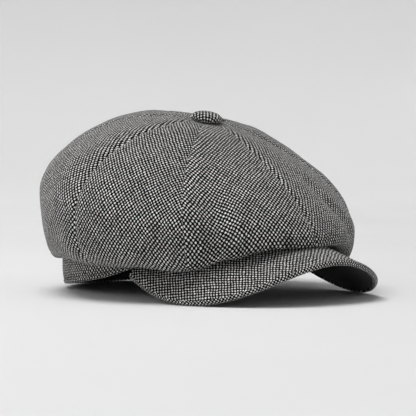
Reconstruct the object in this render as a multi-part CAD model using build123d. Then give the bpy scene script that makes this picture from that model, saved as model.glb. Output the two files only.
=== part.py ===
from build123d import *
import os
from math import acos, cos, exp, hypot, pi, radians, sin, sqrt

# Eight-panel newsboy cap: crown, lining, band, sweatband, covered button and stiff peak.
#
# Frame: millimetres, +Z up, the peak faces -Y, the wearer's right is -X. The cap lies as it
# does on a table: the band touches at the back, the two drooping corners of the peak touch at
# the front. The origin is on the table, under the middle of the head opening.
#
# The crown is built in radial planes. Each plane holds the vertical line through the button and
# makes the angle `phi` with the forward direction (phi = 0 at the front, 90 at the wearer's
# right, 180 at the back). Panels are lofts from one seam plane to the next.


# ---------------------------------------------------------------- driving dimensions
BAND_X = 87.0            # half width of the band's outside
BAND_Y = 104.0           # half length of the band's outside
BAND_HEIGHT = 26.0       # band, bottom edge to top edge
BAND_TILT = 0.11         # rise of the band's bottom edge per millimetre forward of its back
PEAK_SEAM_ARCH = 20.0    # extra rise of the band's bottom edge at the front, over the peak

APEX_Y = -24.5           # where the panels meet, under the button
APEX_Z = 129.5
APEX_HOLE = 4.0          # radius left open at the apex for the button's prongs
CROWN_X = 124.5          # half width of the crown at its fullest line
CROWN_Y = 124.0          # half length of the crown at its fullest line
CROWN_POWER = 1.77       # the fullest line is a superellipse, a little pointed at the four ends
CROWN_CENTRE_Y = -15.0
FULLEST_Z = 63.5         # mean height of the fullest line
FULLEST_DROP = 23.5      # how much lower it is at the front, and higher at the back
APEX_SLOPE = (-0.08, 0.2)   # fall of the crown from the apex: mean, and more to the front
SEAMS = (0.0, 54.0, 93.5, 138.5, 180.0)   # seam planes on one side, equal steps along the band

CLOTH = 1.2              # tweed of the crown and of the peak's cover
BAND_CLOTH = 1.6
INTERFACING = 1.0
SWEATBAND = 0.9
LINING = 0.6
GAP = 0.3                # air between two curved faces on different pieces

PEAK_HINGE_Y = -39.0     # the temples, where the two ends of the peak's seam lie
PEAK_HALF_WIDTH = 97.0
PEAK_REACH = 121.3       # from the temples' line forward to the lip
PEAK_SQUARENESS = 2.43   # superellipse power of the lip's outline
PEAK_TOP_Z = 42.9        # underside at the middle of the seam
PEAK_FALL = 0.305        # how much the underside falls per millimetre forward
PEAK_BEND = 0.006        # how much it falls per square millimetre sideways
PEAK_LAYERS = (0.0, 1.0, 3.2, 4.5)   # heights of the faces of under cover, board, top cover
PEAK_WRAP = 1.3          # the top cover turned down round the lip

BUTTON_R = 11.5
BUTTON_TILT = 11.3       # degrees forward, with the slope of the crown at the apex


# ---------------------------------------------------------------- curves of the cap
def reach(phi, half_x, half_y, centre_y, from_y=APEX_Y, power=2.0):
    """Distance along the ray `phi` from (0, from_y) to an oval centred on (0, centre_y)."""
    near, far = 0.0, 2 * (half_x + half_y)
    for _ in range(50):
        r = (near + far) / 2
        x = abs(r * sin(phi)) / half_x
        y = abs(from_y - r * cos(phi) - centre_y) / half_y
        if x**power + y**power < 1:
            near = r
        else:
            far = r
    return near


def band_angle(x, y):
    """Angle round the band's ellipse, 0 at the front and pi at the back."""
    return acos(max(-1.0, min(1.0, -y / BAND_Y / hypot(x / BAND_X, y / BAND_Y))))


def band_bottom(t):
    """Height of the band's bottom edge, which is also the peak's seam at the front."""
    arch = PEAK_SEAM_ARCH * cos(t) ** 2 if t < pi / 2 else 0.0
    return BAND_TILT * BAND_Y * (1 + cos(t)) + arch


def hem_lift(t):
    """How far the crown's hem hangs above the band's bottom edge."""
    front = PEAK_LAYERS[3] + 1.0
    turn = radians(70)
    if t < turn:
        return front
    return front + 17.0 * (1 - exp(-(t - turn) / radians(30)))


def hem_droop(phi):
    """How steeply the crown hangs outward from its hem, most beside the peak."""
    deg = phi * 180 / pi
    return 0.3 * exp(-((deg / 40) ** 2)) + 0.83 * exp(-(((deg - 58) / 22) ** 2))


def fullest(phi):
    """Radius of the crown's fullest line in the plane phi."""
    return reach(phi, CROWN_X, CROWN_Y, CROWN_CENTRE_Y, power=CROWN_POWER)


def on_plane(phi, r, z, centre_y=APEX_Y):
    return Vector(-r * sin(phi), centre_y - r * cos(phi), z)


def crown_points(phi, depth):
    """Bezier points of the crown's profile in the plane phi, `depth` inside its outer face."""
    c = cos(phi)
    full_r = fullest(phi)
    full_z = FULLEST_Z - FULLEST_DROP * c
    hem_r = reach(phi, BAND_X, BAND_Y, 0.0) + GAP
    t = band_angle(hem_r * sin(phi), APEX_Y - hem_r * c)
    hem_z = band_bottom(t) + hem_lift(t)
    fall = hem_droop(phi)
    slope = APEX_SLOPE[0] + APEX_SLOPE[1] * c
    handle = (0.44 - 0.19 * c) * full_r
    start = APEX_HOLE
    upper = [
        (start, APEX_Z - slope * start - depth),
        (handle, APEX_Z - slope * handle - depth),
        (full_r - depth, full_z + (0.44 - 0.14 * c) * (APEX_Z - full_z)),
        (full_r - depth, full_z),
    ]
    run = 0.82 * (full_r - hem_r)
    lower = [
        upper[3],
        (full_r - depth, full_z - 0.8 * (full_z - hem_z + fall * run)),
        (hem_r + run, hem_z - fall * run + depth),
        (hem_r, hem_z + depth),
    ]
    return upper, lower


def lining_points(phi, depth):
    """The lining hangs inside the crown and ends behind the top of the band."""
    c = cos(phi)
    full_r = fullest(phi)
    inner = BAND_CLOTH + INTERFACING + 2 * GAP
    hem_r = reach(phi, BAND_X - inner, BAND_Y - inner, 0.0)
    t = band_angle(hem_r * sin(phi), APEX_Y - hem_r * c)
    top_z = band_bottom(t) + BAND_HEIGHT
    full_r = hem_r + (0.2 - 0.15 * c) * (full_r - hem_r)
    full_z = top_z + 9.0 - 3.0 * c
    slope = APEX_SLOPE[0] + APEX_SLOPE[1] * c
    handle = (0.42 - 0.18 * c) * full_r
    under = CLOTH + 1.6 + depth
    upper = [
        (APEX_HOLE, APEX_Z - slope * APEX_HOLE - under),
        (handle, APEX_Z - slope * handle - under - 2.0),
        (full_r - depth, full_z + (0.4 - 0.07 * c) * (APEX_Z - full_z)),
        (full_r - depth, full_z),
    ]
    lower = [
        upper[3],
        (full_r - depth, full_z - 3.0),
        (hem_r - depth, top_z + 3.0),
        (hem_r - depth, top_z - 3.0),
    ]
    return upper, lower


def profile_wire(phi, points, thickness):
    """Closed outline of a cloth layer in one radial plane."""
    out_up, out_low = points(phi, 0.0)
    in_up, in_low = points(phi, thickness)

    def curve(ps):
        return Bezier(*[on_plane(phi, r, z) for r, z in ps])

    edges = [
        curve(out_up),
        curve(out_low),
        Edge.make_line(on_plane(phi, *out_low[3]), on_plane(phi, *in_low[3])),
        curve(in_low[::-1]),
        curve(in_up[::-1]),
        Edge.make_line(on_plane(phi, *in_up[0]), on_plane(phi, *out_up[0])),
    ]
    return Wire([e.edge() if not isinstance(e, Edge) else e for e in edges])


def gore(start_deg, end_deg, points, thickness, steps=4):
    """One panel, from the seam plane start_deg to the seam plane end_deg."""
    wires = []
    for i in range(steps + 1):
        phi = radians(start_deg + (end_deg - start_deg) * i / steps)
        wires.append(profile_wire(phi, points, thickness))
    return Solid.make_loft(wires)


# ---------------------------------------------------------------- band and its layers
def hoop(inset, thickness, bottom, top, start_deg, end_deg, steps):
    """Part of a hoop inside the band's outer face; bottom and top are rises off its edge."""
    wires = []
    for i in range(steps + 1):
        t = radians(start_deg + (end_deg - start_deg) * i / steps)
        edge_z = band_bottom(abs(t) if abs(t) <= pi else 2 * pi - abs(t))
        corners = []
        for d, h in (
            (inset, bottom),
            (inset, top),
            (inset + thickness, top),
            (inset + thickness, bottom),
        ):
            x = -(BAND_X - d) * sin(t)
            y = -(BAND_Y - d) * cos(t)
            corners.append(Vector(x, y, edge_z + h))
        wires.append(Wire.make_polygon(corners, close=True))
    return Solid.make_loft(wires, ruled=True)


# ---------------------------------------------------------------- peak
def peak_underside(x, y):
    return PEAK_TOP_Z + PEAK_FALL * (y + BAND_Y) - PEAK_BEND * x * x


def peak_span(psi):
    """Inner and outer radius of the peak from (0, PEAK_HINGE_Y) in the direction psi."""
    s = abs(sin(psi)) / PEAK_HALF_WIDTH
    c = cos(psi) / PEAK_REACH
    outer = (s**PEAK_SQUARENESS + c**PEAK_SQUARENESS) ** (-1 / PEAK_SQUARENESS)
    outer *= 1 - 0.074 * (1 - cos(psi)) ** 2
    inner = reach(psi, BAND_X + GAP, BAND_Y + GAP, 0.0, PEAK_HINGE_Y)
    return inner, outer


def peak_point(psi, w, height, trim=0.0):
    """Point at share w of the way from the seam to the lip, `height` above the underside."""
    inner, outer = peak_span(psi)
    outer -= trim
    r = inner + (outer - inner) * w
    x = -r * sin(psi)
    y = PEAK_HINGE_Y - r * cos(psi)
    seam_x = -inner * sin(psi)
    seam_y = PEAK_HINGE_Y - inner * cos(psi)
    miss = band_bottom(band_angle(seam_x, seam_y)) - peak_underside(seam_x, seam_y)
    return Vector(x, y, peak_underside(x, y) + (1 - w) ** 2 * miss + height)


def peak_curve(psi, height, trim, back=False):
    ws = (0.0, 0.25, 0.5, 0.75, 1.0)
    pts = [peak_point(psi, w, height, trim) for w in ws]
    return Edge.make_spline(pts[::-1] if back else pts)


def peak_layer(low, high, trim, steps=18):
    wires = []
    for i in range(steps + 1):
        psi = radians(-90 + 180 * i / steps)
        a = peak_curve(psi, high, trim)
        c = peak_curve(psi, low, trim, back=True)
        wires.append(
            Wire([a, Edge.make_line(a @ 1, c @ 0), c, Edge.make_line(c @ 1, a @ 0)])
        )
    return Solid.make_loft(wires)


def peak_cover(steps=18):
    """Top cover: a sheet over the board, turned down round the lip to the underside."""
    under, _, board_top, top = PEAK_LAYERS
    wires = []
    for i in range(steps + 1):
        psi = radians(-90 + 180 * i / steps)
        a = peak_curve(psi, top, 0.0)
        c = peak_curve(psi, board_top, PEAK_WRAP, back=True)
        lip_out = peak_point(psi, 1.0, under)
        lip_in = peak_point(psi, 1.0, under, PEAK_WRAP)
        wires.append(
            Wire(
                [
                    a,
                    Edge.make_line(a @ 1, lip_out),
                    Edge.make_line(lip_out, lip_in),
                    Edge.make_line(lip_in, c @ 0),
                    c,
                    Edge.make_line(c @ 1, a @ 0),
                ]
            )
        )
    return Solid.make_loft(wires)


# ---------------------------------------------------------------- covered button
def button_parts():
    """Fabric cover, metal shell and pronged back plate, stacked along a tilted axis."""
    cloth = 0.9
    shell = 0.7
    rise = 5.6
    sphere_r = (BUTTON_R**2 + rise**2) / (2 * rise)

    def cap_solid(inset, floor):
        ball = Pos(0, 0, rise - sphere_r) * Sphere(sphere_r - inset)
        slab = Pos(0, 0, floor + 10) * Box(60, 60, 20)
        return ball & slab

    cover = cap_solid(0, 0) - cap_solid(cloth, -1)
    metal = cap_solid(cloth, 0) - cap_solid(cloth + shell, -1)
    plate_r = sqrt((sphere_r - cloth - shell) ** 2 - (sphere_r - rise) ** 2) - 1.2
    plate = Pos(0, 0, 0.4) * Cylinder(plate_r, 0.8)
    for side in (-1, 1):
        plate += Pos(side * 2.2, 0, -4.9) * Box(0.8, 2.4, 9.8)
        plate += Pos(side * 4.2, 0, -9.4) * Box(4.8, 2.4, 0.8)
    place = Pos(0, APEX_Y, APEX_Z + 1.9) * Rot(BUTTON_TILT, 0, 0)
    return {
        "button_cover": place * cover,
        "button_shell": place * metal,
        "button_back_plate": place * plate,
    }


# ---------------------------------------------------------------- build and write
os.makedirs("parts", exist_ok=True)
parts = {}

PANELS = ("front", "side_front", "side_rear", "back")
for name, a, b in zip(PANELS, SEAMS[:-1], SEAMS[1:]):
    for hand, side in (("right", 1), ("left", -1)):
        for layer, points, thickness in (
            ("crown_panel", crown_points, CLOTH),
            ("lining_panel", lining_points, LINING),
        ):
            panel = gore(a, b, points, thickness)
            if side < 0:
                panel = panel.mirror(Plane.YZ)
            parts[f"{layer}_{name}_{hand}"] = panel

SPLIT = 74.0             # where the front of the band meets its two back halves, in degrees
parts["band_front"] = hoop(0, BAND_CLOTH, 0, BAND_HEIGHT, -SPLIT, SPLIT, 36)
parts["band_back_right"] = hoop(0, BAND_CLOTH, 0, BAND_HEIGHT, SPLIT, 180, 26)
parts["band_back_left"] = parts["band_back_right"].mirror(Plane.YZ)

inset = BAND_CLOTH + GAP
parts["interfacing_front"] = hoop(inset, INTERFACING, 2, 23, -SPLIT, SPLIT, 36)
parts["interfacing_back"] = hoop(inset, INTERFACING, 2, 23, SPLIT, 360 - SPLIT, 52)

inset = inset + INTERFACING + 2 * GAP + LINING + GAP
parts["sweatband"] = hoop(inset, SWEATBAND, 1, 28, -142, 142, 56)
parts["sweatband_elastic"] = hoop(inset, SWEATBAND, 1, 28, 142, 218, 16)

parts["peak_under_cover"] = peak_layer(PEAK_LAYERS[0], PEAK_LAYERS[1], PEAK_WRAP)
parts["peak_board"] = peak_layer(PEAK_LAYERS[1], PEAK_LAYERS[2], PEAK_WRAP)
parts["peak_top_cover"] = peak_cover()

parts.update(button_parts())

for name, shape in parts.items():
    export_step(shape, f"parts/{name}.step")
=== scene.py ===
"""Newsboy cap in black and white birdseye tweed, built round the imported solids.

Shapes are worked out in millimetres, in the frame of the solids: +Z up, the peak faces -Y,
the wearer's right is -X, and become metres when a mesh is made. Each piece of cloth carries a
UV map named "weave", in millimetres of cloth, so that threads run along the cut of the piece.
"""

import math

import bmesh
import bpy
import numpy as np
from mathutils import Matrix, Vector


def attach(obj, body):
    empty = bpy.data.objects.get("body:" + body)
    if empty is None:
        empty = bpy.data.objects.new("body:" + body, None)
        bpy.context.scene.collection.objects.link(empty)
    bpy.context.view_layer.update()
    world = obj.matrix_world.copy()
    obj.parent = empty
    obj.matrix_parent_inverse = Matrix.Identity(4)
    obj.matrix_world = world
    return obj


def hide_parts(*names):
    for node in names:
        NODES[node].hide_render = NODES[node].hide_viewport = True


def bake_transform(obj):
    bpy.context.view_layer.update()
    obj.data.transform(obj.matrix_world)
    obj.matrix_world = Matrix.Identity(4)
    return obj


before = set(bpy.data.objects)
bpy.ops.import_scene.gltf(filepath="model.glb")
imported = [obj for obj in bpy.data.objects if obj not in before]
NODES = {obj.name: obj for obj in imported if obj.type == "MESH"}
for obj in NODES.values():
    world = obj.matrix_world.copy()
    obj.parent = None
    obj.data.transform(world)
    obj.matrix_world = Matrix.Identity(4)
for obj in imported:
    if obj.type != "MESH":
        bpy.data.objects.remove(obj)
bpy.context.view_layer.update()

# ================================================================ shape of the cap
BAND_X, BAND_Y, BAND_HEIGHT = 87.0, 104.0, 26.0
BAND_TILT, SEAM_ARCH = 0.11, 20.0
APEX_Y, APEX_Z, APEX_HOLE = -24.5, 129.5, 4.0
CROWN_X, CROWN_Y, CROWN_CENTRE_Y, CROWN_POWER = 124.5, 124.0, -15.0, 1.77
FULLEST_Z, FULLEST_DROP = 63.5, 23.5
SEAMS = (0.0, 54.0, 93.5, 138.5, 180.0)
HINGE_Y, PEAK_HALF_WIDTH, PEAK_REACH, PEAK_SQUARENESS = -39.0, 97.0, 121.3, 2.43
PEAK_TOP_Z, PEAK_FALL, PEAK_BEND = 42.9, 0.305, 0.006
BUTTON_TILT = math.radians(11.3)
HEM_OVER_PEAK, HEM_RISE, PEAK_CORNER = 5.5, 17.0, 70
GAP = 0.3


def bump(x, centre, width):
    """Smooth hill, 1 at the centre."""
    return np.exp(-(((x - centre) / width) ** 2))


def ease(x, low, high):
    """Smooth step from 0 at low to 1 at high."""
    t = np.clip((x - low) / (high - low), 0, 1)
    return t * t * (3 - 2 * t)


def swell(points, size, seed):
    """Smooth random relief, about -1 to 1, with folds about `size` mm apart."""
    rng = np.random.default_rng(seed)
    total = np.zeros(points.shape[:-1])
    for _ in range(9):
        way = rng.normal(size=3)
        way *= rng.uniform(0.6, 1.4) * math.pi / (size * np.linalg.norm(way))
        total += np.sin(points @ way + rng.uniform(0, 2 * math.pi))
    return total / 3.2


def reach(phi, half_x, half_y, centre_y, from_y=APEX_Y, power=2.0):
    """Distance along the ray phi from (0, from_y) to an oval centred on (0, centre_y)."""
    phi = np.asarray(phi, float)
    near, far = np.zeros_like(phi), np.full_like(phi, 2 * (half_x + half_y))
    for _ in range(44):
        r = (near + far) / 2
        x = np.abs(r * np.sin(phi)) / half_x
        y = np.abs(from_y - r * np.cos(phi) - centre_y) / half_y
        inside = x**power + y**power < 1
        near, far = np.where(inside, r, near), np.where(inside, far, r)
    return near


def band_angle(x, y):
    """Angle round the band of a point seen from the middle: 0 at the front, pi at the back."""
    return np.arccos(np.clip(-y / BAND_Y / np.hypot(x / BAND_X, y / BAND_Y), -1, 1))


def band_bottom(t):
    """Height of the band's lower edge, which arches over the peak."""
    arch = np.where(np.cos(t) > 0, SEAM_ARCH * np.cos(t) ** 2, 0.0)
    return BAND_TILT * BAND_Y * (1 + np.cos(t)) + arch


def hem_lift(t):
    """Height of the crown's fold above the band's lower edge: low over the peak, high behind."""
    deg = np.degrees(t)
    behind = HEM_RISE * (1 - np.exp(-(deg - PEAK_CORNER) / 30))
    droop = 1.8 * bump(deg, 86, 9)
    return HEM_OVER_PEAK + np.where(deg > PEAK_CORNER, behind, 0.0) - droop


def bezier(p, u):
    """Cubic curve with the control points p."""
    return (
        p[0] * (1 - u) ** 3
        + 3 * p[1] * u * (1 - u) ** 2
        + 3 * p[2] * u * u * (1 - u)
        + p[3] * u**3
    )


def along(line, shares):
    """Points at these shares of the length of each polyline; line is (n, m, k)."""
    step = np.linalg.norm(np.diff(line, axis=0), axis=-1)
    length = np.concatenate([np.zeros((1, line.shape[1])), np.cumsum(step, 0)])
    out = np.empty((len(shares), line.shape[1], line.shape[2]))
    for j in range(line.shape[1]):
        for k in range(line.shape[2]):
            out[:, j, k] = np.interp(shares * length[-1, j], length[:, j], line[:, j, k])
    return out


def turned(phi, r, z):
    """Radius and height in the planes phi, as points."""
    return np.stack([-r * np.sin(phi), APEX_Y - r * np.cos(phi), z + 0 * r], -1)


def crown_surface(phi, rows):
    """Outside of the crown: rows from the button down to the fold over the band, then in."""
    c = np.cos(phi)
    full_r = reach(phi, CROWN_X, CROWN_Y, CROWN_CENTRE_Y, power=CROWN_POWER)
    full_z = FULLEST_Z - FULLEST_DROP * c
    band_r = reach(phi, BAND_X, BAND_Y, 0.0) + GAP
    t = band_angle(band_r * np.sin(phi), APEX_Y - band_r * c)
    hem_z = band_bottom(t) + hem_lift(t)
    deg = np.abs(np.degrees(phi))
    fall = 0.4 * bump(deg, 0, 24) + 0.9 * bump(deg, 47, 23)
    slope = -0.08 + 0.2 * c
    handle = (0.44 - 0.19 * c) * full_r
    ledge = 2.6 + 1.6 * ease(deg, 80, 120)
    fold_r = band_r + ledge
    run = 0.82 * (full_r - fold_r)
    upper = [
        (APEX_HOLE + 0 * phi, APEX_Z - slope * APEX_HOLE),
        (handle, APEX_Z - slope * handle),
        (full_r, full_z + (0.44 - 0.14 * c) * (APEX_Z - full_z)),
        (full_r, full_z),
    ]
    lower = [
        upper[3],
        (full_r, full_z - (0.74 + 0.06 * c) * (full_z - hem_z + fall * run)),
        (fold_r + run, hem_z - fall * run),
        (fold_r, hem_z),
    ]
    curl = [
        lower[3],
        (fold_r - 0.55 * ledge, hem_z + 0.55 * ledge * fall),
        (band_r + 0.5, hem_z + 0.8),
        (band_r + 0.5, hem_z + 5.0),
    ]
    pieces = []
    for ps, n in ((upper, 60), (lower, 60), (curl, 14)):
        u = np.linspace(0, 1, n)[:, None]
        r, z = (bezier([p[k][None] for p in ps], u) for k in (0, 1))
        pieces.append(np.stack([r, z], -1))
    body = np.concatenate([pieces[0], pieces[1][1:]])
    body = along(body, 1 - (1 - np.linspace(0, 1, rows)) ** 1.12)
    line = np.concatenate([body, along(pieces[2], np.linspace(0, 1, 10))[1:]])
    return turned(phi[None], line[..., 0], line[..., 1])


def seam_angle(k, rows):
    """Angle of seam k down the crown, in degrees; the cloth eases a seam off its plane."""
    s = np.linspace(0, 1, rows + 9)
    drift = 1.0 * bump(s, 0.28, 0.15) - 4.7 * ease(s, 0.35, 0.95) if k == 1 else 0 * s
    return SEAMS[k] + drift


def crown_between(k, side, t, rows):
    """Surface and angles of the panel from seam k to seam k + 1."""
    a, b = seam_angle(k, rows)[:, None], seam_angle(k + 1, rows)[:, None]
    deg = a + (b - a) * t[None]
    table = np.arange(-8, 189, 0.5)
    whole = crown_surface(np.radians(table) * side, rows)
    at = (deg - table[0]) / 0.5
    low = np.floor(at).astype(int)
    row = np.arange(deg.shape[0])[:, None]
    share = (at - low)[..., None]
    return whole[row, low] * (1 - share) + whole[row, low + 1] * share, deg


def lining_surface(phi, rows):
    """Inside face of the crown's layers: rows from the button down to the sweatband's top."""
    c = np.cos(phi)
    full_r = reach(phi, CROWN_X, CROWN_Y, CROWN_CENTRE_Y, power=CROWN_POWER)
    inner = 1.6 + 1.0 + 2 * GAP
    hem_r = reach(phi, BAND_X - inner, BAND_Y - inner, 0.0)
    t = band_angle(hem_r * np.sin(phi), APEX_Y - hem_r * c)
    top_z = band_bottom(t) + BAND_HEIGHT
    full_r = hem_r + (0.2 - 0.15 * c) * (full_r - hem_r)
    full_z = top_z + 9.0 - 3.0 * c
    slope = -0.08 + 0.2 * c
    handle = (0.42 - 0.18 * c) * full_r
    upper = [
        (APEX_HOLE + 0 * phi, APEX_Z - slope * APEX_HOLE - 3.0),
        (handle, APEX_Z - slope * handle - 5.0),
        (full_r, full_z + (0.4 - 0.07 * c) * (APEX_Z - full_z)),
        (full_r, full_z),
    ]
    lower = [upper[3], (full_r, full_z - 3.0), (hem_r, top_z + 3.0), (hem_r, top_z - 3.0)]
    pieces = []
    for ps, n in ((upper, 50), (lower, 20)):
        u = np.linspace(0, 1, n)[:, None]
        r, z = (bezier([p[k][None] for p in ps], u) for k in (0, 1))
        pieces.append(np.stack([r, z], -1))
    body = along(np.concatenate([pieces[0], pieces[1][1:]]), np.linspace(0, 1, rows))
    return turned(phi[None], body[..., 0], body[..., 1])


def peak_ground(x, y):
    """Height of the underside of the peak, a sheet bent across its width."""
    return PEAK_TOP_Z + PEAK_FALL * (y + BAND_Y) - PEAK_BEND * x * x


def peak_surface(psi, w, trim=0.0):
    """Underside of the peak at share w of the way from the seam to the lip."""
    s, c = np.abs(np.sin(psi)) / PEAK_HALF_WIDTH, np.cos(psi) / PEAK_REACH
    outer = (s**PEAK_SQUARENESS + c**PEAK_SQUARENESS) ** (-1 / PEAK_SQUARENESS)
    outer = outer * (1 - 0.074 * (1 - np.cos(psi)) ** 2) - trim
    inner = reach(psi, BAND_X + GAP, BAND_Y + GAP, 0.0, HINGE_Y)
    r = inner + (outer - inner) * w
    x, y = -r * np.sin(psi), HINGE_Y - r * np.cos(psi)
    seam_x, seam_y = -inner * np.sin(psi), HINGE_Y - inner * np.cos(psi)
    miss = band_bottom(band_angle(seam_x, seam_y)) - peak_ground(seam_x, seam_y)
    return np.stack([x, y, peak_ground(x, y) + (1 - w) ** 2 * miss], -1)


# ================================================================ making meshes
def normals_of(p):
    """Unit normals of a grid of points, by its two directions."""
    du, dv = np.gradient(p, axis=0), np.gradient(p, axis=1)
    n = np.cross(du, dv)
    return n / np.maximum(np.linalg.norm(n, axis=-1, keepdims=True), 1e-9)


def lengths(p, axis):
    """Distance run along one direction of a grid, from its start."""
    step = np.linalg.norm(np.diff(p, axis=axis), axis=-1)
    pad = [(0, 0), (0, 0)]
    pad[axis] = (1, 0)
    return np.pad(np.cumsum(step, axis), pad)


def cloth_uv(p):
    """Threads along the middle of a grid (rows run down it), in mm."""
    across = lengths(p, 1)
    middle = p.shape[1] // 2
    u = across - across[:, middle : middle + 1]
    v = lengths(p, 0)[:, middle : middle + 1] + 0 * u
    return np.stack([u, v], -1)


class Cloth:
    """Collects grids of points in mm, each with its weave, and makes one mesh of them."""

    def __init__(self):
        self.points, self.faces, self.uvs, self.count = [], [], [], 0

    def grid(self, p, uv=None, flip=False, loop=False):
        """Adds a grid; loop joins its last column to its first."""
        n, m = p.shape[:2]
        if uv is None:
            uv = cloth_uv(p)
        index = np.arange(n * m).reshape(n, m) + self.count
        if loop:
            index = np.concatenate([index, index[:, :1]], 1)
            uv = np.concatenate([uv, uv[:, -1:] + (uv[:, 1:2] - uv[:, :1])], 1)
        corners = [index[:-1, :-1], index[1:, :-1], index[1:, 1:], index[:-1, 1:]]
        at = [uv[:-1, :-1], uv[1:, :-1], uv[1:, 1:], uv[:-1, 1:]]
        if flip:
            corners, at = corners[::-1], at[::-1]
        self.faces.append(np.stack(corners, -1).reshape(-1, 4))
        self.uvs.append(np.stack(at, 2).reshape(-1, 2))
        self.points.append(p.reshape(-1, 3))
        self.count += n * m
        return self

    def shell(self, outer, inner, uv=None):
        """Two faces of a cloth and the raw edges between them."""
        uv = cloth_uv(outer) if uv is None else uv
        self.grid(outer, uv).grid(inner, uv, flip=True)
        for k, rim in enumerate(
            (
                (outer[0], inner[0], uv[0]),
                (outer[-1], inner[-1], uv[-1]),
                (outer[:, 0], inner[:, 0], uv[:, 0]),
                (outer[:, -1], inner[:, -1], uv[:, -1]),
            )
        ):
            edge = np.stack([rim[0], rim[1]])
            self.grid(edge, np.stack([rim[2], rim[2] + 0.8]), flip=k in (0, 3))
        return self

    def make(self, name, material, sharp=55):
        """One closed mesh, with its open rims filled; edges over `sharp` degrees stay crisp."""
        mesh = bpy.data.meshes.new(name)
        points = np.concatenate(self.points) * 0.001
        faces = np.concatenate(self.faces)
        mesh.from_pydata(points.tolist(), [], faces.tolist())
        layer = mesh.uv_layers.new(name="weave")
        layer.data.foreach_set("uv", np.concatenate(self.uvs).astype(np.float32).ravel())
        bm = bmesh.new()
        bm.from_mesh(mesh)
        bmesh.ops.remove_doubles(bm, verts=bm.verts, dist=1e-6)
        bmesh.ops.dissolve_degenerate(bm, edges=bm.edges, dist=1e-7)
        rim = [e for e in bm.edges if e.is_boundary]
        if rim:
            bmesh.ops.holes_fill(bm, edges=rim, sides=0)
        bmesh.ops.recalc_face_normals(bm, faces=bm.faces)
        bm.to_mesh(mesh)
        bm.free()
        mesh.shade_smooth()
        mesh.set_sharp_from_angle(angle=math.radians(sharp))
        mesh.materials.append(material)
        piece = bpy.data.objects.new(name, mesh)
        bpy.context.scene.collection.objects.link(piece)
        return piece


def stitches(path, side, length, gap, thick):
    """Rounded thread segments along a closed or open path; side is the way up from the cloth."""
    run = lengths(path[:, None], 0)[:, 0]
    pitch = length + gap
    thread = Cloth()
    ring = np.linspace(0, 2 * math.pi, 7)[:-1]
    for k in range(int(run[-1] // pitch)):
        at = k * pitch + np.linspace(0, length, 5)
        mid = np.stack([np.interp(at, run, path[:, i]) for i in range(3)], -1)
        up = np.stack([np.interp(at, run, side[:, i]) for i in range(3)], -1)
        way = np.gradient(mid, axis=0)
        way /= np.linalg.norm(way, axis=1, keepdims=True)
        across = np.cross(way, up)
        plump = thick * np.array([0.25, 0.85, 1.0, 0.85, 0.25])
        lift = thick * np.array([-0.6, 0.35, 0.6, 0.35, -0.6])
        mid = mid + up * lift[:, None]
        tube = (
            mid[:, None]
            + across[:, None] * (plump[:, None] * np.cos(ring))[..., None]
            + up[:, None] * (plump[:, None] * np.sin(ring) * 0.75)[..., None]
        )
        uv = np.stack(np.meshgrid(at, np.arange(6.0), indexing="ij"), -1)
        thread.grid(tube, uv, loop=True)
    return thread


# ================================================================ materials
class Nodes:
    """Short hands for building a material's nodes."""

    def __init__(self, name):
        self.material = bpy.data.materials.new(name)
        self.material.use_nodes = True
        self.tree = self.material.node_tree
        self.tree.nodes.clear()
        self.out = self.tree.nodes.new("ShaderNodeOutputMaterial")
        self.shader = self.tree.nodes.new("ShaderNodeBsdfPrincipled")
        self.tree.links.new(self.shader.outputs[0], self.out.inputs[0])

    def node(self, kind, settings=None, **inputs):
        """A shader node; an input's name has _ for each space."""
        n = self.tree.nodes.new("ShaderNode" + kind)
        for key, value in (settings or {}).items():
            setattr(n, key, value)
        for key, value in inputs.items():
            self.put(n.inputs[key.replace("_", " ")], value)
        return n

    def put(self, socket, value):
        """Links a socket to another, or sets its constant."""
        if isinstance(value, bpy.types.NodeSocket):
            self.tree.links.new(value, socket)
        else:
            socket.default_value = value

    def math(self, operation, *values, clamp=False):
        n = self.node("Math", {"operation": operation, "use_clamp": clamp})
        for socket, value in zip(n.inputs, values):
            self.put(socket, value)
        return n.outputs[0]

    def noise(self, vector, scale, detail=2.0, rough=0.5):
        n = self.node("TexNoise", Vector=vector, Scale=scale, Detail=detail, Roughness=rough)
        return n.outputs["Fac"]

    def span(self, value, low, high, to_low=0.0, to_high=1.0, smooth=True):
        """Maps low..high to to_low..to_high, and stops at both ends."""
        n = self.node("MapRange", {"interpolation_type": "SMOOTHSTEP" if smooth else "LINEAR"})
        for socket, x in zip(n.inputs, (value, low, high, to_low, to_high)):
            self.put(socket, x)
        return n.outputs[0]

    def mix(self, share, a, b):
        n = self.node("Mix", {"data_type": "RGBA"})
        for socket, x in ((n.inputs[0], share), (n.inputs[6], a), (n.inputs[7], b)):
            self.put(socket, x)
        return n.outputs[2]

    def weave(self):
        """Place on the cloth, in mm along its threads."""
        return self.node("UVMap", {"uv_map": "weave"}).outputs[0]

    def finish(self, colour, height=None, distance=0.0004, strength=1.0, **sockets):
        """Sets the shader's sockets; height is the relief for the bump."""
        self.put(self.shader.inputs["Base Color"], colour)
        for key, value in sockets.items():
            self.put(self.shader.inputs[key.replace("_", " ")], value)
        if height is not None:
            b = self.node("Bump", Strength=strength, Distance=distance, Height=height)
            self.tree.links.new(b.outputs[0], self.shader.inputs["Normal"])
        return self.material


def grey(v, tint=(1.0, 1.0, 1.0)):
    """A grey of brightness v, slightly tinted."""
    return (v * tint[0], v * tint[1], v * tint[2], 1.0)


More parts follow.
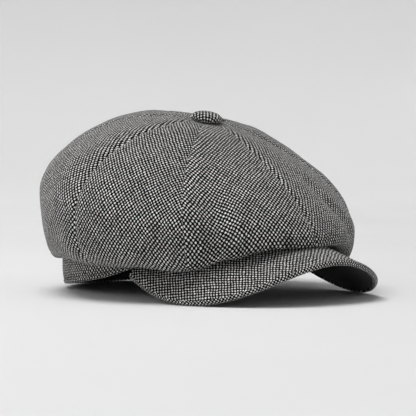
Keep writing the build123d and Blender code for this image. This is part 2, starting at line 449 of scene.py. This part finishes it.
def tweed(name, across=1.7, down=1.9, light=0.9, dark=0.004, low=0.1, high=0.58):
    """Birdseye: pale slubs in staggered rows on near black, in thick and thin wool."""
    m = Nodes(name)
    uv = m.weave()
    slow = m.node("TexNoise", {"noise_dimensions": "2D"}, Vector=uv, Scale=0.11, Detail=1.0)
    fast = m.node("TexNoise", {"noise_dimensions": "2D"}, Vector=uv, Scale=0.8, Detail=1.0)

    def shifted(texture, size):
        centred = m.node("VectorMath", {"operation": "SUBTRACT"})
        m.put(centred.inputs[0], texture.outputs["Color"])
        m.put(centred.inputs[1], (0.5, 0.5, 0.5))
        scaled = m.node("VectorMath", {"operation": "SCALE"})
        m.put(scaled.inputs[0], centred.outputs[0])
        m.put(scaled.inputs["Scale"], size)
        return scaled.outputs[0]

    def add(a, b):
        n = m.node("VectorMath", {"operation": "ADD"})
        m.put(n.inputs[0], a)
        m.put(n.inputs[1], b)
        return n.outputs[0]

    place = add(add(uv, shifted(slow, 1.6)), shifted(fast, 0.9))
    xyz = m.node("SeparateXYZ", Vector=place)
    u = m.math("MULTIPLY", xyz.outputs[0], 1 / across)
    v = m.math("MULTIPLY", xyz.outputs[1], 1 / down)
    wave_u = m.math("COSINE", m.math("MULTIPLY", u, math.pi))
    wave_v = m.math("COSINE", m.math("MULTIPLY", v, math.pi))
    wave = m.math("MULTIPLY", wave_u, wave_v)
    slub = m.span(wave, low, high)
    cell = m.node("CombineXYZ", X=m.math("ROUND", u), Y=m.math("ROUND", v))
    lot = m.node("TexWhiteNoise", {"noise_dimensions": "2D"}, Vector=cell.outputs[0])
    fibre = m.noise(uv, 3.2, 3.0, 0.65)
    patch = m.noise(uv, 0.045, 2.0)
    strength = m.span(lot.outputs["Value"], 0, 1, 0.68, 1.08, smooth=False)
    strength = m.math("MULTIPLY", strength, m.span(fibre, 0.25, 0.75, 0.72, 1.12, smooth=False))
    strength = m.math("MULTIPLY", strength, m.span(patch, 0.3, 0.7, 0.9, 1.08))
    shown = m.math("MULTIPLY", slub, strength, clamp=True)
    colour = m.mix(shown, grey(dark, (1, 1, 1.06)), grey(light, (1.0, 0.99, 0.975)))
    height = m.math("ADD", m.math("MULTIPLY", wave, 0.5), m.math("MULTIPLY", fibre, 0.35))
    return m.finish(
        colour,
        height,
        distance=0.00045,
        strength=0.75,
        Roughness=0.92,
        Sheen_Weight=0.2,
        Sheen_Roughness=0.3,
        Sheen_Tint=(1.0, 1.0, 1.0, 1.0),
        Specular_IOR_Level=0.12,
    )


def fine_cloth(name, base, pitch, relief, roughness, sheen=0.0, rib=(1, 1), coat=0.0):
    """Plain weave or ribbed cloth; rib sets how strong the two thread directions are."""
    m = Nodes(name)
    uv = m.weave()
    xyz = m.node("SeparateXYZ", Vector=uv)
    u = m.math("SINE", m.math("MULTIPLY", xyz.outputs[0], math.pi / pitch))
    v = m.math("SINE", m.math("MULTIPLY", xyz.outputs[1], math.pi / pitch))
    cross = m.math("ADD", m.math("MULTIPLY", u, rib[0]), m.math("MULTIPLY", v, rib[1]))
    cloud = m.noise(uv, 0.06, 3.0)
    fibre = m.noise(uv, 2.6, 2.0)
    lit = m.math("ADD", m.span(cross, -1.6, 1.6, 0, 0.5), m.span(cloud, 0.3, 0.7, 0, 0.3))
    lit = m.math("ADD", lit, m.math("MULTIPLY", fibre, 0.2), clamp=True)
    colour = m.mix(lit, grey(base[0], base[2]), grey(base[1], base[2]))
    height = m.math("ADD", m.math("MULTIPLY", cross, 0.5), m.math("MULTIPLY", fibre, 0.4))
    rough = m.span(fibre, 0.2, 0.8, roughness - 0.06, min(roughness + 0.06, 1), smooth=False)
    return m.finish(
        colour,
        height,
        distance=relief * 0.001,
        strength=0.8,
        Roughness=rough,
        Sheen_Weight=sheen,
        Sheen_Roughness=0.4,
        Specular_IOR_Level=0.35,
    )


def hard_stuff(name, low, high, scale, roughness, metallic=0.0, tint=(1, 1, 1), stretch=1.0):
    """Moulded board or pressed metal on a carried-over solid, by its own coordinates."""
    m = Nodes(name)
    place = m.node("TexCoord").outputs["Object"]
    spread = m.node("Mapping", Vector=place, Scale=(scale, scale * stretch, scale))
    grain = m.noise(spread.outputs[0], 1.0, 4.0, 0.6)
    cloud = m.noise(place, 60.0, 2.0)
    lit = m.math("ADD", m.span(grain, 0.3, 0.7, 0, 0.7), m.span(cloud, 0.35, 0.65, 0, 0.3))
    colour = m.mix(lit, grey(low, tint), grey(high, tint))
    rough = m.span(grain, 0.3, 0.7, roughness - 0.08, roughness + 0.08, smooth=False)
    return m.finish(
        colour, grain, distance=0.00012, strength=0.5, Roughness=rough, Metallic=metallic
    )


TWEED = tweed("tweed_birdseye")
THREAD = fine_cloth("thread_charcoal", (0.02, 0.07, (1, 1, 1.03)), 0.5, 0.1, 0.75, 0.2)
UNDER = fine_cloth("cotton_black", (0.008, 0.022, (1, 1, 1.08)), 0.42, 0.12, 0.82, 0.12)
SATIN = fine_cloth("lining_satin_black", (0.012, 0.03, (1, 1, 1.1)), 0.3, 0.05, 0.36, 0.1)
RIBBON = fine_cloth("grosgrain_black", (0.01, 0.035, (1, 1, 1.05)), 0.8, 0.25, 0.6, 0.15, (1, 0.1))
ELASTIC = fine_cloth("elastic_black", (0.012, 0.04, (1, 1, 1.05)), 1.1, 0.35, 0.7, 0.1, (0.2, 1))
CANVAS = fine_cloth("hair_canvas", (0.38, 0.6, (1, 0.93, 0.8)), 0.5, 0.2, 0.85)
BOARD = hard_stuff("peak_board_white", 0.68, 0.85, 240.0, 0.5, tint=(1, 1, 0.97))
STEEL = hard_stuff("tinned_steel", 0.42, 0.62, 500.0, 0.34, metallic=1.0, stretch=0.1)


def soft(piece):
    """A cloth piece of the cap, with its placement baked into its points."""
    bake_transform(piece)
    return piece


# ================================================================ crown
def outward(p, middle):
    """Normals of a grid, turned as one away from a point inside the cap."""
    n = normals_of(p)
    return n * np.sign((n * (p - np.array(middle))).sum(-1).mean())


def seam_relief(flat, deg, t):
    """How far the outside of a crown panel stands off the plain surface, in mm."""
    across = lengths(flat, 1)
    width = across[:, -1:]
    d = np.minimum(across, width - across)
    down = lengths(flat, 0)
    left = down[-1:] - down
    room = ease(down, 8, 45) * ease(left, 16, 62)
    puff = 1.6 * room * np.maximum(1 - (2 * t - 1) ** 2, 0) ** 0.7
    fresh = ease(down, 3, 14)
    valley = -0.15 * np.exp(-((d / 0.7) ** 2)) - 0.35 * np.exp(-((d / 3.2) ** 2))
    ridge = 0.3 * bump(d, 4.2, 2.2)
    pucker = 0.22 * np.exp(-d / 4.5) * np.sin(down * 2 * math.pi / 9.5 + 2.0 * np.sin(down / 13))
    soft_folds = room * (0.9 * swell(flat, 46, 5) + 0.4 * swell(flat, 19, 11))
    z = flat[..., 2]
    right = flat[..., 0] < 0
    near = ease(left, 8, 30)
    dent = -5.2 * bump(deg, 39.5, 5.2) * ease(z, 20, 36) * ease(-z, -96, -58)
    shoulder = 1.4 * (bump(deg, 33, 6) + bump(deg, 53, 4)) * ease(z, 22, 40) * ease(-z, -92, -62)
    crease = -2.4 * bump(deg + 0.22 * (z - 55), 28, 4.0) * ease(z, 30, 50) * ease(-z, -96, -70)
    crease = crease - 1.8 * bump(deg - 0.3 * (z - 60), 76, 4.5) * ease(z, 36, 52)
    own = np.where(right, dent + shoulder, crease)
    pressed = -1.1 * (1 - ease(down, 5, 16))
    return pressed + puff + fresh * (valley + ridge + pucker) + soft_folds + own * near


PANELS = ("front", "side_front", "side_rear", "back")
COLUMNS, ROWS = 44, 104
share = np.linspace(0, 1, COLUMNS)
COLUMN_PLACES = 0.82 * (0.5 - 0.5 * np.cos(math.pi * share)) + 0.18 * share  # closer at seams
CLOTH, EDGE_CLOTH, LINING = 1.2, 1.6, 0.6


def crown_panel(name, hand, side):
    """One gore of tweed, from the button to the fold over the band; side is 1 on the right."""
    t = COLUMN_PLACES if side > 0 else COLUMN_PLACES[::-1]
    flat, deg = crown_between(PANELS.index(name), side, t, ROWS)
    n = outward(flat, (0, -20, 60))
    off = seam_relief(flat, deg, t[None])
    outer = flat + n * off[..., None]
    turned_n = normals_of(outer)
    turned_n *= np.sign((turned_n * n).sum(-1).mean())
    inner = outer - turned_n * CLOTH
    for k in (0, -1):
        inner[:, k] = flat[:, k] + n[:, k] * (off[:, k] - EDGE_CLOTH)[:, None]
    finer = 1.22 if name == "side_front" else 1.07
    uv = cloth_uv(flat) * np.array([finer, 1.05])
    piece = Cloth().shell(outer, inner, uv).make(f"crown_{name}_{hand}", TWEED)
    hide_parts(f"crown_panel_{name}_{hand}")
    soft(piece)


def lining_panel(name, hand, side):
    """One gore of satin, slack between the button and the sweatband."""
    k = PANELS.index(name)
    deg = SEAMS[k] + (SEAMS[k + 1] - SEAMS[k]) * np.linspace(0, 1, 22)
    if side < 0:
        deg = deg[::-1]
    flat = lining_surface(np.radians(deg) * side, 60)
    n = outward(flat, (0, -10, 30))
    across, down = lengths(flat, 1), lengths(flat, 0)
    d = np.minimum(across, across[:, -1:] - across)
    room = ease(down, 6, 30) * ease(down[-1:] - down, 4, 22)
    off = room * (0.9 * swell(flat, 26, 21) + 0.4 * swell(flat, 11, 22) - 0.9)
    off = off - 0.5 * np.exp(-d / 1.2) * ease(down, 3, 12)
    outer = flat + n * off[..., None]
    inner = outer - n * LINING
    piece = Cloth().shell(outer, inner, cloth_uv(flat)).make(f"lining_{name}_{hand}", SATIN)
    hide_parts(f"lining_panel_{name}_{hand}")
    soft(piece)


for name in PANELS:
    for hand, side in (("right", 1), ("left", -1)):
        crown_panel(name, hand, side)
        lining_panel(name, hand, side)


# ================================================================ band and sweatband
DRAWN_IN, TRIMMED, TRIM_AT = 2.4, 4.8, 68
INSET = 4.4  # from the band's outside to the sweatband's
STITCH_RISE = 4.0


def ring(section, start=0.0, stop=360.0, steps=240):
    """A section of (inset, rise) points swept round the band's oval: its grid and angles.
    Away from the peak the bottom edge of every layer is drawn in a little, and it is
    trimmed up to the peak's corners."""
    closed = stop - start >= 360
    t = np.radians(np.linspace(start, stop, steps + 1))[: -1 if closed else None]
    inset, rise = np.array(section).T[:, :, None]
    drawn = DRAWN_IN * ease(-np.cos(t), -0.35, 0.5) * (1 - ease(rise, -12, 13))
    inset, rise = inset + drawn, rise + 0 * t
    x, y = -(BAND_X - inset) * np.sin(t), -(BAND_Y - inset) * np.cos(t)
    deg = np.degrees(np.arccos(np.cos(t)))
    trimmed = TRIMMED * np.where(deg < TRIM_AT, bump(deg, TRIM_AT, 6), bump(deg, TRIM_AT, 19))
    trimmed = trimmed * (1 - np.clip(rise / BAND_HEIGHT, 0, 1))
    return np.stack([x, y, band_bottom(t) + rise + trimmed], -1), t


def ring_uv(p, section):
    """Threads round the band and up its section, in mm."""
    run = lengths(np.concatenate([p, p[:, :1]], 1), 1)[p.shape[0] // 3]
    step = np.linalg.norm(np.diff(np.array(section), axis=0), axis=1)
    rise = np.concatenate([[0], np.cumsum(step)])
    return np.stack(np.meshgrid(rise, run[: p.shape[1]], indexing="ij")[::-1], -1)


def groove(rise):
    """Inset of the band's face: its line of stitching, and the swell on both sides of it."""
    line = 0.55 * bump(rise, STITCH_RISE, 0.7)
    return line - 0.28 * bump(rise, 2.0, 1.5) - 0.25 * bump(rise, 14, 8)


def band_face():
    """The tweed band, folded under at its lower edge."""
    rises = np.concatenate([np.linspace(BAND_HEIGHT, 7, 12), np.linspace(6, 1.6, 14)])
    face = [(groove(z), z) for z in rises]
    fold = [(0.05, 1.1), (0.25, 0.6), (0.6, 0.22), (1.1, 0.06), (2.2, 0.05), (3.4, 0.1)]
    fold += [(4.2, 0.3), (4.2, 0.8), (3.0, 0.95), (1.9, 1.1), (1.6, 1.5)]
    back = [(1.6, 12), (1.6, 25.6), (1.0, 26)]
    section = face + fold + back + face[:1]
    p, _ = ring(section)
    wavy = 0.0016 * swell(p[: len(face)], 30, 31) * ease(rises, 0, 8)[:, None]
    p[: len(face), :, :2] *= 1 + wavy[..., None]
    p[-1] = p[0]
    band = Cloth().grid(p, ring_uv(p, section), loop=True).make("outer_band", TWEED)
    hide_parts("band_front", "band_back_right", "band_back_left")
    soft(band)


def band_stitches():
    line, t = ring([(groove(STITCH_RISE) - 0.05, STITCH_RISE)], steps=900)
    out = np.stack([-np.sin(t) / BAND_X, -np.cos(t) / BAND_Y, 0 * t], -1)
    out /= np.linalg.norm(out, axis=1, keepdims=True)
    seam = stitches(line[0], out, 2.9, 1.1, 0.34).make("band_topstitching", THREAD)
    soft(seam)


def sweatband():
    """Grosgrain round the front and sides, leaning in at its top."""
    p, _ = ring(SWEATBAND, -142, 142, 200)
    ribbon = Cloth().grid(p, ring_uv(p, SWEATBAND)).make("sweatband_ribbon", RIBBON)
    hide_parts("sweatband")
    soft(ribbon)


def sweatband_back():
    """The elastic length at the back, gathered into small ribs."""
    p, t = ring(SWEATBAND, 142.3, 217.7, 120)
    ribs = 0.22 * np.cos(np.arange(121) * 2 * math.pi / 4)
    way = np.stack([np.sin(t), np.cos(t), 0 * t], -1)
    high = bump(np.array(SWEATBAND)[:, 1], 14, 9)
    p = p + way[None] * (ribs[None, :] * high[:, None])[..., None]
    elastic = Cloth().grid(p, ring_uv(p, SWEATBAND)).make("sweatband_stretch", ELASTIC)
    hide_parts("sweatband_elastic")
    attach(elastic, "cap")


def sweatband_stitches():
    line, t = ring([(INSET + 0.95, 3.2)], -141, 141, 700)
    into = np.stack([np.sin(t), np.cos(t), 0 * t], -1)
    row = stitches(line[0], into, 2.6, 1.0, 0.3).make("sweatband_stitching_low", THREAD)
    soft(row)


def band_canvas(name, start, stop):
    """A strip of canvas between the band and the sweatband."""
    section = [(1.95, 2), (1.95, 23), (2.9, 23), (2.9, 2), (1.95, 2)]
    p, _ = ring(section, start, stop, int(stop - start))
    canvas = Cloth().grid(p, ring_uv(p, section)).make(f"band_canvas_{name}", CANVAS)
    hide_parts(f"interfacing_{name}")
    soft(canvas)


lean = [(0.0, 1.0), (0.0, 4), (0.1, 12), (0.45, 20), (1.0, 26.4), (1.15, 27.4), (1.5, 27.8)]
lean += [(1.95, 27.4), (1.9, 26.4), (1.35, 20), (1.0, 12), (0.9, 4), (0.9, 1.0), (0.0, 1.0)]
SWEATBAND = [(INSET + inset, rise) for inset, rise in lean]

band_face()
band_stitches()
sweatband()
sweatband_back()
sweatband_stitches()
band_canvas("front", -73.5, 73.5)
band_canvas("back", 74.5, 285.5)


# ================================================================ peak
THICK = 4.3  # top cover, board and under cover together
WARP_TURN = math.radians(9.9)  # the peak's cloth is cut this far off the straight
psi = np.radians(np.linspace(-90, 90, 145))[None]
w = (1 - (1 - np.linspace(0, 1, 44)) ** 1.25)[:, None]


def face_up(psi, w, trim=0.0):
    """Underside points and their normals, which point up."""
    p = peak_surface(psi, w, trim)
    n = normals_of(p)
    return p, n * np.sign(n[..., 2:3])


def peak_lip():
    """The cover's roll round the edge of the board: (way out, height) steps, top to bottom."""
    edge, up = face_up(psi, w)
    edge, up = edge[-1], up[-1]
    way = peak_surface(psi[0], 1.0) - peak_surface(psi[0], 0.9)
    way -= up * (way * up).sum(-1, keepdims=True)
    way /= np.linalg.norm(way, axis=-1, keepdims=True)
    roll = [(-1.5, THICK), (-1.0, THICK - 0.22), (-0.62, THICK - 0.3), (-0.25, THICK - 0.55)]
    roll += [(0.0, THICK - 1.1), (0.12, THICK - 1.9), (0.12, 1.6), (0.0, 0.8), (-0.3, 0.3)]
    roll += [(-0.8, 0.03), (-1.3, 0.0)]
    return np.array([edge + way * out + up * rise for out, rise in roll])


def peak_weave(p):
    """Threads on the peak's top, laid out flat from its bend across the width."""
    bend = 2 * PEAK_BEND
    x = p[..., 0]
    arc = 0.5 * (x * np.sqrt(1 + (bend * x) ** 2) + np.arcsinh(bend * x) / bend)
    u = arc * math.cos(WARP_TURN) - p[..., 1] * math.sin(WARP_TURN)
    v = arc * math.sin(WARP_TURN) + p[..., 1] * math.cos(WARP_TURN)
    return 1.08 * np.stack([u, v], -1)


def peak_cover():
    """Tweed over the board, round the lip and a little way under."""
    low, up = face_up(psi, w, 2.6)
    heave = 0.35 * swell(low, 30, 41) * ease(w, 0.0, 0.3) * ease(-w, -1, -0.85)
    top = low + up * (THICK + heave)[..., None]
    lip = peak_lip()
    top = np.concatenate([top[:-1], lip[:1]])
    inside = peak_surface(psi, w, 1.3)[::-1] + np.array([0, 0, 3.25])
    joined = np.concatenate([lip[-1:], inside, top[:1]])
    run = lengths(lip, 1)[5:6] + 0 * lip[..., 0]
    cover = Cloth()
    cover.grid(top, peak_weave(top))
    cover.grid(lip, 1.25 * np.stack([run, lengths(lip, 0)], -1))
    cover.grid(joined, joined[..., :2])
    piece = cover.make("peak_cover", TWEED, sharp=50)
    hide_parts("peak_top_cover")
    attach(piece, "peak")
    return top


def peak_facing(top):
    """Black cotton under the board."""
    under = peak_surface(psi, w, 1.9)
    sag = 0.25 * swell(under, 24, 43) * ease(w, 0.05, 0.3) * ease(-w, -1, -0.9)
    bottom = under + np.stack([0 * sag, 0 * sag, 0.12 + np.abs(sag)], -1)
    lid = under + np.array([0, 0, 0.95])
    piece = Cloth().shell(bottom, lid, peak_weave(top)).make("peak_facing", UNDER)
    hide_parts("peak_under_cover")
    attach(piece, "peak")


peak_facing(peak_cover())


# ================================================================ covered button
def covered_button():
    """Tweed drawn over the button's shell and pleated round its rim."""
    theta = np.linspace(0, 2 * math.pi, 97)[:-1]
    quarter = [k / 14 * math.pi / 2 for k in range(1, 15)]
    line = [(0.02, 5.9)]
    line += [(11.5 * math.sin(q) ** 0.9, 1.5 + 4.4 * math.cos(q) ** 1.1) for q in quarter]
    line += [(11.75, 0.8), (11.75, 0.1), (11.5, -0.6), (10.9, -1.2), (9.8, -1.5), (8.4, -1.4)]
    line += [(8.3, -0.3), (9.6, 0.0), (10.2, 0.5), (10.0, 1.4)]
    line += [(10.0 * math.sin(q), 1.5 + 3.35 * math.cos(q)) for q in quarter[-2::-1]]
    line.append((0.02, 4.9))
    r, z = np.array(line).T[:, :, None]
    pleat = ease(r, 7.5, 11.2) * (0.16 * np.cos(14 * theta) + 0.1 * np.cos(23 * theta + 1))
    wide = r + pleat * ease(z, -1.2, 1.0)
    run = lengths(np.stack([r, z], -1), 0)
    p = np.stack([wide * np.cos(theta), wide * np.sin(theta), z + 0 * wide], -1)
    uv = np.stack([run * np.cos(theta), run * np.sin(theta)], -1)
    tilt = np.array(Matrix.Rotation(BUTTON_TILT, 3, "X"))
    p = p @ tilt.T + np.array([0, APEX_Y, APEX_Z + 1.9])
    button = Cloth().grid(p, uv, loop=True).make("covered_button", TWEED, sharp=80)
    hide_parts("button_cover")
    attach(button, "cap")


covered_button()


# ================================================================ carried-over solids
def finish_node(name, material):
    mesh = NODES[name].data
    mesh.materials.clear()
    mesh.materials.append(material)


finish_node("peak_board", BOARD)
for name in ("button_shell", "button_back_plate"):
    finish_node(name, STEEL)


# ================================================================ floor, lights, camera
FLOOR, FLOOR_SLOPE = -0.72, 0.0074  # the peak's corners and the back of the band stand on it


def studio():
    """A pale round floor curving up into a wall; its paper glows as painted light, more away from
    the middle.
    """
    line = [(0.02, 0.0), (0.6, 0.0), (1.4, 0.0), (2.2, 0.0)]
    for k in range(1, 13):
        q = k / 12 * math.pi / 2
        line.append((2.2 + 1.4 * math.sin(q), 1.4 - 1.4 * math.cos(q)))
    line += [(3.6, 2.4), (3.6, 3.4)]
    theta = np.linspace(0, 2 * math.pi, 97)[:-1]
    r, z = np.array(line).T[:, :, None] * 1000
    y = r * np.sin(theta)
    p = np.stack([r * np.cos(theta), y, z + FLOOR + FLOOR_SLOPE * y], -1)
    uv = np.stack([p[..., 0], p[..., 1]], -1) * 0.001
    m = Nodes("studio_paper")
    cloud = m.noise(m.weave(), 3.0, 2.0)
    colour = m.mix(m.span(cloud, 0.3, 0.7), grey(0.80), grey(0.815))
    x, y, height = m.node("SeparateXYZ", Vector=m.node("TexCoord").outputs["Object"]).outputs
    away = m.math("SQRT", m.math("ADD", m.math("MULTIPLY", x, x), m.math("MULTIPLY", y, y)))
    # painted light: the paper glows more away from the middle and less high up the wall, to
    # brighten the backdrop
    painted_glow = m.math("MULTIPLY", m.span(away, 0.3, 2.3, 0, 0.27), m.span(height, 0.1, 0.5, 1, 0.72))
    painted_glow = m.math("MULTIPLY", painted_glow, m.span(height, 0.5, 1.2, 1, 0))
    paper = m.finish(colour, Roughness=0.95, Specular_IOR_Level=0.1, Emission_Strength=painted_glow)
    m.shader.inputs["Emission Color"].default_value = (1, 1, 1, 1)
    Cloth().grid(p, uv, loop=True).make("studio_floor", paper)


def area_light(name, at, towards, size, power):
    """A round soft light."""
    data = bpy.data.lights.new(name, "AREA")
    data.shape, data.size, data.energy = "DISK", size, power
    lamp = bpy.data.objects.new(name, data)
    bpy.context.scene.collection.objects.link(lamp)
    lamp.location = at
    lamp.rotation_euler = (Vector(towards) - Vector(at)).to_track_quat("-Z", "Y").to_euler()


studio()
area_light("overhead", (-0.45, 0.35, 2.2), (0, -0.02, 0.05), 1.5, 36.0)
area_light("left_fill", (-2.1, 0.2, 1.0), (0, -0.02, 0.06), 1.2, 6.0)
world = bpy.data.worlds.new("studio_air")
world.use_nodes = True
world.node_tree.nodes["Background"].inputs[0].default_value = (1, 1, 1, 1)
world.node_tree.nodes["Background"].inputs[1].default_value = 0.5
bpy.context.scene.world = world
bpy.context.scene.view_settings.view_transform = "Standard"

turn, pitch = math.radians(43.38), math.radians(2.378)
level = math.cos(pitch)
look = Vector((math.sin(turn) * level, math.cos(turn) * level, -math.sin(pitch)))
across = Vector((math.cos(turn), -math.sin(turn), 0))
target = Vector((0, -0.020, 0.060))
DISTANCE = 1.547
eye = target - look * DISTANCE
aim = target + across * 0.00405 + across.cross(look) * 0.0033
camera = bpy.data.objects.new("camera", bpy.data.cameras.new("camera"))
bpy.context.scene.collection.objects.link(camera)
camera.location = eye
camera.rotation_euler = (aim - eye).to_track_quat("-Z", "Y").to_euler()
camera.data.lens, camera.data.sensor_width = 175.0, 36.0
camera.data.clip_end = 50.0
bpy.context.scene.camera = camera
